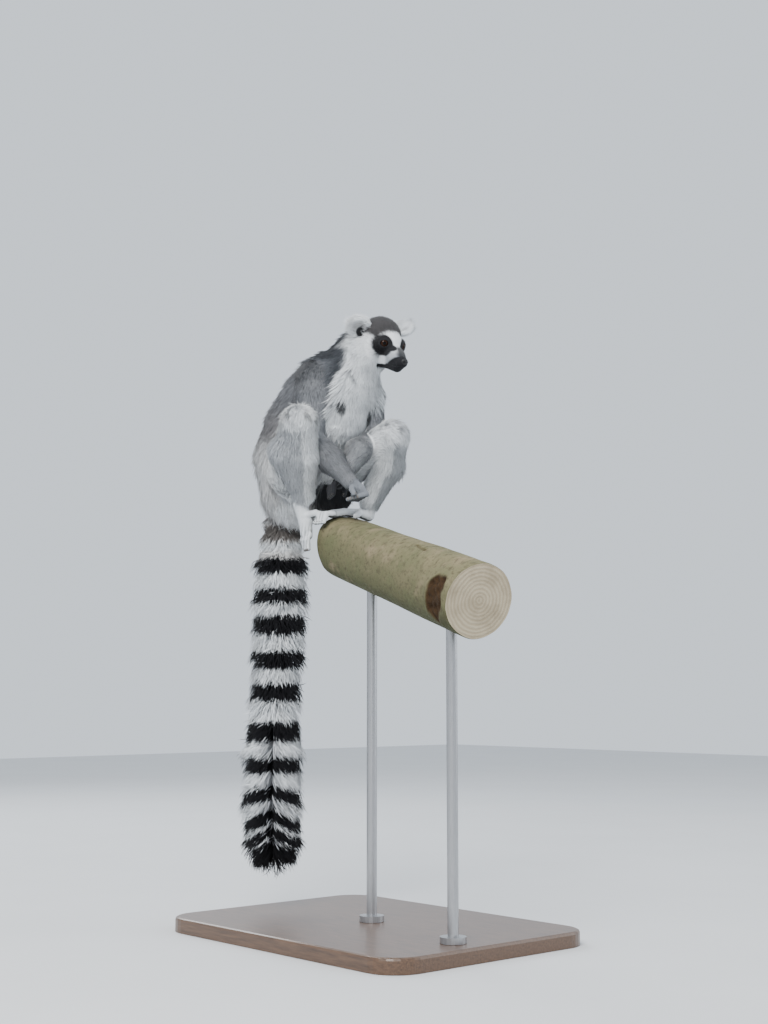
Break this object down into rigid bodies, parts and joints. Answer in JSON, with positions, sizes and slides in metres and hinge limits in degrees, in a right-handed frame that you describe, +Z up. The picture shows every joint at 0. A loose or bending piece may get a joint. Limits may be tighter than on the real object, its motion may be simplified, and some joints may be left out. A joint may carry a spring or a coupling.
{
  "type": "ring-tailed lemur",
  "caption": "Life-size still ring-tailed lemur squatting on the end of a short branch, banded tail hanging, held by a flat display stand with rods.",
  "frame": {"origin": "centre of the stand base's underside, on the surface it rests on", "axes": "+Z up; the lemur's chest faces -Y and its left side is +X"},
  "size_m": [0.4, 0.5817, 0.9873],
  "materials": {
    "coat_grey": "short dense soft fur, grey back and limbs",
    "coat_white": "short soft white fur on face, ears, chest, hands and feet",
    "coat_banded": "long loose tail fur in black and white bands",
    "eye": "wet, glossy, dark orange-brown iris and black pupil",
    "nose_skin": "bare black skin, slightly moist",
    "bark": "smooth olive-tan bark with pale patches, sawn pale ends",
    "base_wood": "dark stained wood, satin varnish",
    "rod_metal": "satin steel rod with a round collar"
  },
  "bodies": {
    "root": {"trunk": "coat_grey", "thigh_left": "coat_grey", "thigh_right": "coat_grey", "shin_left": "coat_grey", "shin_right": "coat_grey", "upper_arm_left": "coat_grey", "upper_arm_right": "coat_grey", "forearm_left": "coat_grey", "forearm_right": "coat_grey", "head": "coat_white", "neck": "coat_white", "ear_left": "coat_white", "ear_right": "coat_white", "hand_left": "coat_white", "hand_right": "coat_white", "foot_left": "coat_white", "foot_right": "coat_white", "tail_upper": "coat_banded", "tail_middle": "coat_banded", "tail_lower": "coat_banded", "eye_left": "eye", "eye_right": "eye", "nose": "nose_skin", "perch_log": "bark", "stand_base": "base_wood", "stand_rod_rear": "rod_metal", "stand_rod_front": "rod_metal"}
  },
  "joints": []
}
